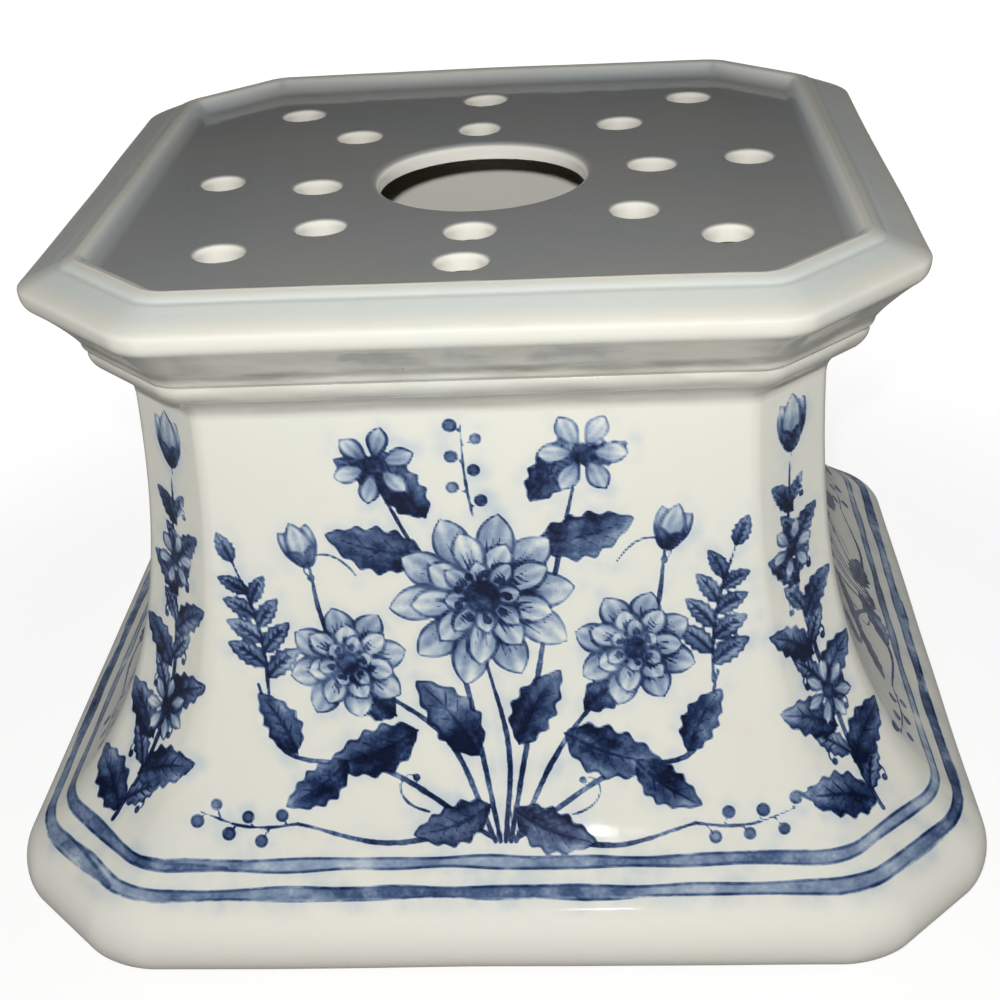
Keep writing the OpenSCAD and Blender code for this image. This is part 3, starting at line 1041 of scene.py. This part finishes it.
def brushed_ink(wire):
    """Strength of the cobalt: watery washes that pool at their edges, drawn lines, and a faint blush."""
    cover, edge, line, tone = (wire.node("Attribute", {"attribute_name": "ink_" + name}, (), "Fac")
                               for name in ("cover", "edge", "line", "tone"))
    broad, mid, fine = noise(wire, 8 * MM, detail=3.0), noise(wire, 2.4 * MM), noise(wire, 0.8 * MM)
    ragged = 0.10 * mid + 0.05 * fine
    load = tone + (0.2 * broad + 0.09 * mid + 0.06 * fine) * (tone + 0.15)
    wash = (-cover - ragged).ramp(-0.12, 0.18) * load
    rim = (1 - (edge + 0.6 * ragged).ramp(0.0, 0.65)) * (-cover).ramp(-0.3, 0.0) * (0.58 + 0.26 * broad)
    drawn = (-line - 0.6 * ragged).ramp(-0.12, 0.15) * (0.7 + 0.22 * broad + 0.1 * fine)
    blush = (1 - wire.math("MINIMUM", cover, line).ramp(0.0, 6.0)) * (0.07 + 0.04 * broad)
    bare = (1 - wash.held(0.98)) * (1 - rim.held(0.9)) * (1 - drawn.held(0.95))
    return 1 - bare * (1 - blush.held(0.2))


def buff_clay(wire, grain):
    """Mottled biscuit clay with dark specks."""
    mottle = noise(wire, 12 * MM, detail=4.0) + 0.5 * grain
    clay = blend(wire, BISCUIT, BISCUIT_DARK, mottle.ramp(-1.5, 2.5))
    return clay.mix(SPECK, pinholes(wire, 4 * MM, radius=0.25 * MM, share=0.3) * 0.6)


def painted_glaze():
    """Glaze of the walls with the cobalt in it, paler towards the foot partly as painted light; the clay
    is bare at the very foot, and low inside, the walls are painted dark as shade, in a clay colour.
    """
    material, wire = new_material("painted_glaze")
    ink = brushed_ink(wire)
    cobalt = wire.node("ValToRGB", {"stops": INK_STOPS}, {"Fac": ink}, "Color")
    height = object_height(wire)
    # Paler towards the foot: partly glaze pooled thick, partly painted light
    ground = glaze_ground(wire).mix(POOLED_AND_LIT_GLAZE, (1 - height.ramp(6 * MM, 24 * MM)) * 0.8)
    base = ground.mix(cobalt, ink.ramp(0.0, 0.14))
    outside = wire.node("Attribute", {"attribute_name": "outside"}, (), "Fac")
    # Below this height the inside of the walls is painted dark as shade, in a clay colour, and made matt
    above_inside_shade = height.ramp(INSIDE_SHADE_Z, INSIDE_SHADE_Z + 4 * MM)
    inside_shade = (1 - outside) * (1 - above_inside_shade)
    base = base.mix(SHADED_INSIDE, inside_shade)
    worn = 1 - (height + noise(wire, 4 * MM) * 0.2 * MM).ramp(0.3 * MM, 0.7 * MM)
    base = base.mix(buff_clay(wire, noise(wire, 1.2 * MM, detail=4.0)), worn)
    glossy_finish(wire, base, ink, wire.math("MAXIMUM", inside_shade, worn))
    return material


def shaded_deck_grey(wire):
    """Grey of the deck's flat top: painted shade, as it gets little light, and partly a thinner, greyer
    glaze.
    """
    return blend(wire, SHADED_DECK_GREY, SHADED_DECK_BLUE, (noise(wire, 36 * MM, detail=3.0) + 0.3).ramp(-1.5, 1.8))


def plan_throw(wire):
    """How far a point lies outside the crest, as the plan's sides step out."""
    place = object_place(wire)
    x, y = (wire.math("ABSOLUTE", wire.node("SeparateXYZ", {}, {"Vector": place}, axis))
            for axis in ("X", "Y"))
    corner = (x + y - (2 * CREST_HALF - CORNICE_PLAN[0])) / (2 - CORNICE_PLAN[1])
    return wire.math("MAXIMUM", wire.math("MAXIMUM", x, y) - CREST_HALF, corner)


def moulded_glaze():
    """Glaze of the cornice: smudged, with painted shade under its ovolo, painted shade and grime in the
    crease above the fillet, bluish on its ledge, and the deck's painted grey shade towards the deck.
    """
    material, wire = new_material("moulded_glaze")
    streaks = noise(wire, 14 * MM, detail=4.0, stretch=(1, 1, 5))
    height = object_height(wire)
    ledge = height.ramp(OVOLO_Z - 1.5 * MM, OVOLO_Z)
    ledge = ledge * (1 - height.ramp(CREST_Z - 0.9 * MM, CREST_Z - 0.2 * MM))
    base = glaze_ground(wire).mix(THICK_GLAZE, ledge * 0.7)
    # Painted shade under the ovolo, down to the neck, streaked like smudges
    shaded_under = 1 - height.ramp(HOLLOW_Z - 1 * MM, HOLLOW_Z + 1.5 * MM)
    shaded_under = shaded_under * height.ramp(NECK_Z, NECK_Z + 2 * MM)
    base = base.mix(SMUDGE_AND_SHADE, (shaded_under * (0.62 + 0.2 * streaks)).held(1.0))
    # Darker in the crease above the fillet: partly grime, partly painted shade
    shaded_crease = 1 - wire.math("ABSOLUTE", height - FILLET_Z - 0.8 * MM).ramp(0.2 * MM, 2.2 * MM)
    base = base.mix(GRIME_AND_SHADE, (shaded_crease * (0.38 + 0.22 * streaks)).held(0.8))
    base = base.mix(SMUDGE_AND_SHADE, (streaks - 0.6).ramp(0.0, 2.5) * 0.4)
    # The deck's painted grey shade, carried up the lower part of the rim slope
    inner = 1 - plan_throw(wire).ramp(-0.62 * RIM_SLOPE, -0.2 * RIM_SLOPE)
    inner = inner * height.ramp(OVOLO_Z - 3 * MM, OVOLO_Z - 2 * MM)
    base = base.mix(shaded_deck_grey(wire), inner * 0.95)
    glossy_finish(wire, base)
    return material


def deck_glaze():
    """Glaze of the deck: its flat top painted grey as shade, paler where it turns from flat; the holes
    stay white inside.
    """
    material, wire = new_material("deck_glaze")
    normal = wire.node("NewGeometry", {}, {}, "Normal")
    flat = wire.node("SeparateXYZ", {}, {"Vector": normal}, "Z").ramp(0.55, 0.97)
    # The flat top is painted grey as shade; faces turning from it, the holes' walls and lips, get the
    # paler glaze
    base = glaze_ground(wire).mix(POOLED_AND_LIT_GLAZE, 1 - flat).mix(shaded_deck_grey(wire), flat * 0.85)
    base = base.mix(SPECK, pinholes(wire, 13 * MM, radius=0.32 * MM, share=0.4) * 0.8)
    glossy_finish(wire, base)
    return material


def floor_biscuit():
    """Buff unglazed clay; its top inside is painted dark as shade."""
    material, wire = new_material("floor_biscuit")
    grain = noise(wire, 1.2 * MM, detail=4.0)
    # The floor's top, inside, is painted dark as shade
    inside = object_height(wire).ramp(0.8 * FLOOR_T, 0.9 * FLOOR_T)
    base = buff_clay(wire, grain).mix(SHADED_INSIDE, inside)
    bump = wire.node("Bump", {}, {"Strength": 0.5, "Distance": 0.1 * MM, "Height": grain}, "Normal")
    add_surface(wire, base, CLAY_ROUGHNESS, bump)
    return material


def dress(piece, material, node):
    piece.data.materials.clear()
    piece.data.materials.append(material)
    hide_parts(node)
    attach(piece, "root")


walls = make_lengths("wall_ring", WALL_PLAN, wall_outline(), WALL_RADII, "_wall")
cornices = make_lengths("cornice_ring", CORNICE_PLAN, cornice_outline(), CORNICE_RADII, "_cornice")
wall_material, cornice_material = painted_glaze(), moulded_glaze()
for place, direction in enumerate(DIRECTIONS):
    paint_wall(walls[direction], place)
    node = direction + ("_corner" if place % 2 else "_wall")
    dress(walls[direction], wall_material, node)
    dress(cornices[direction], cornice_material, direction + "_cornice")
dress(make_deck(), deck_glaze(), "pierced_deck")
dress(make_floor(), floor_biscuit(), "floor_slab")

# Camera at the photograph's place
EYE = Vector((23.43, -343.13, 236.69)) * MM
YAW, PITCH, ROLL = -0.069, 0.494, -0.058
FOCAL_PIXELS = 1679
PHOTO_PIXELS = 1000
SENSOR = 36
CLIP_START = 0.01


def put_in_scene(name, data, place, turn):
    thing = bpy.data.objects.new(name, data)
    bpy.context.scene.collection.objects.link(thing)
    thing.matrix_world = Matrix.Translation(place) @ turn.to_4x4()
    return thing


def add_camera():
    forward = Vector((math.sin(YAW) * math.cos(PITCH), math.cos(YAW) * math.cos(PITCH), -math.sin(PITCH)))
    level = Vector((math.cos(YAW), -math.sin(YAW), 0))
    upright = level.cross(forward)
    right = math.cos(ROLL) * level + math.sin(ROLL) * upright
    up = -math.sin(ROLL) * level + math.cos(ROLL) * upright
    data = bpy.data.cameras.new("camera")
    data.sensor_width = SENSOR
    data.lens = SENSOR * FOCAL_PIXELS / PHOTO_PIXELS
    data.clip_start = CLIP_START
    turn = Matrix((right, up, -forward)).transposed()
    bpy.context.scene.camera = put_in_scene("camera", data, EYE, turn)


def add_lamp(name, place, aim, size, power):
    data = bpy.data.lights.new(name, "AREA")
    data.shape = "DISK"
    data.size = size
    data.energy = power
    turn = (Vector(aim) - Vector(place)).to_track_quat("-Z", "Y").to_matrix()
    return put_in_scene(name, data, place, turn)


# Floor and sky: sizes in metres, and shares of full white
FLOOR_SIZE = 6
FLOOR_DROP = 0.1 * MM
FLOOR_GREY = tint(132, 132, 130)
FLOOR_GLOW = 0.83
SHADOW_REACH = (0.12, 0.3)
MIRRORED_SHARE = 0.12
SKY_WHITE = tint(255, 255, 255)
SKY_LIGHT = 0.025
HORIZON_LIGHT = 0.07
HORIZON_RISE = (0.12, 0.4)


def add_floor():
    """A plain white floor that keeps a soft shadow near the object and fades to white."""
    bpy.ops.object.select_all(action="DESELECT")
    bpy.ops.mesh.primitive_plane_add(size=FLOOR_SIZE, location=(0, 0, -FLOOR_DROP))
    floor = bpy.context.object
    floor.name = "floor"
    material, wire = new_material("floor_white")
    away = wire.node("VectorMath", {"operation": "LENGTH"}, {0: object_place(wire)}, "Value")
    mirrored = wire.node("LightPath", output="Is Glossy Ray") * MIRRORED_SHARE
    seen = wire.node("LightPath", output="Is Camera Ray") + mirrored
    glow = seen * (FLOOR_GLOW + (1 - FLOOR_GLOW) * away.ramp(*SHADOW_REACH))
    matt = wire.node("BsdfDiffuse", {}, {"Color": FLOOR_GREY}, "BSDF")
    lit = wire.node("Emission", {}, {"Strength": glow}, "Emission")
    surface = wire.node("AddShader", {}, {0: matt, 1: lit}, "Shader")
    wire.node("OutputMaterial", {}, {"Surface": surface}, None)
    floor.data.materials.append(material)


def add_world():
    """White behind the object; a band of soft light near the horizon and less from above."""
    world = bpy.data.worlds.new("studio")
    bpy.context.scene.world = world
    world.use_nodes = True
    world.node_tree.nodes.clear()
    wire = Wire(world.node_tree)
    direction = wire.node("TexCoord", output="Generated")
    rise = wire.node("SeparateXYZ", {}, {"Vector": direction}, "Z")
    band = 1 - wire.math("ABSOLUTE", rise).ramp(*HORIZON_RISE)
    seen = wire.node("LightPath", output="Is Camera Ray")
    light = seen + (1 - seen) * (SKY_LIGHT + HORIZON_LIGHT * band)
    sky = wire.node("Background", {}, {"Color": SKY_WHITE, "Strength": light}, "Background")
    wire.node("OutputWorld", {}, {"Surface": sky}, None)


# Lamps: a small one close above the eye, whose glint in the glaze is a lamp of its own,
# and broad ones all round, each with its place in metres and its power in watts
FLASH = EYE + Vector((-7, 0, 28)) * MM
FLASH_AIM = (0, 0, 80 * MM)
FLASH_SIZE = 10 * MM
FLASH_POWER = 0.98
GLINT_SIZE = 9 * MM
GLINT_POWER = 0.05
BROAD_AIM = (0, 0, 60 * MM)
BROAD_SIZE = 0.3
BROAD_LAMPS = (
    ("front", (0, -1.6, 0.34), 2.4), ("back", (0, 1.6, 0.2), 14.0),
    ("left", (-1.6, 0.3, 0.25), 6.0), ("right", (1.6, 0.3, 0.25), 6.0))

add_camera()
add_lamp("key", FLASH, FLASH_AIM, FLASH_SIZE, FLASH_POWER).visible_glossy = False
add_lamp("glint", FLASH, FLASH_AIM, GLINT_SIZE, GLINT_POWER).visible_diffuse = False
for name, spot, power in BROAD_LAMPS:
    add_lamp(name, spot, BROAD_AIM, BROAD_SIZE, power).visible_glossy = False
add_floor()
add_world()
bpy.context.scene.view_settings.view_transform = "Standard"
